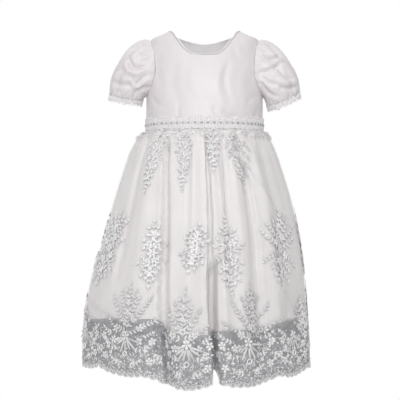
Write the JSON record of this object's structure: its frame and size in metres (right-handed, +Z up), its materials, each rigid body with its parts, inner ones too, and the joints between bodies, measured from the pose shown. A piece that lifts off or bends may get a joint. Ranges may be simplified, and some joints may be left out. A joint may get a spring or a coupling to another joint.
{
  "type": "child's party dress, filled out and hollow",
  "caption": "Child's short-sleeved party dress: plain satin bodice with puff sleeves, jewelled lace waist, embroidered net skirt over a shorter satin skirt.",
  "frame": {"origin": "between the shoulders, 10 mm below the two high points of the shoulder seams and midway between front and back side seams", "axes": "+Z up from the hem to the shoulders, -Y out of the front, +X towards the right sleeve as the picture shows it"},
  "size_m": [0.3868, 0.345, 0.578],
  "materials": {
    "satin": "satin",
    "lace": "matte",
    "embroidered_net": "matte",
    "skirt_satin": "satin",
    "button": "gloss"
  },
  "bodies": {
    "root": {"bodice_front": "satin", "bodice_back_left": "satin", "bodice_back_right": "satin", "sleeve_left": "satin", "sleeve_right": "satin", "cuff_trim_left": "lace", "cuff_trim_right": "lace", "waist_trim": "lace", "net_skirt_front": "embroidered_net", "net_skirt_back": "embroidered_net", "satin_skirt_front": "skirt_satin", "satin_skirt_back": "skirt_satin", "back_button_1": "button", "back_button_2": "button", "back_button_3": "button", "back_button_4": "button"}
  },
  "joints": []
}
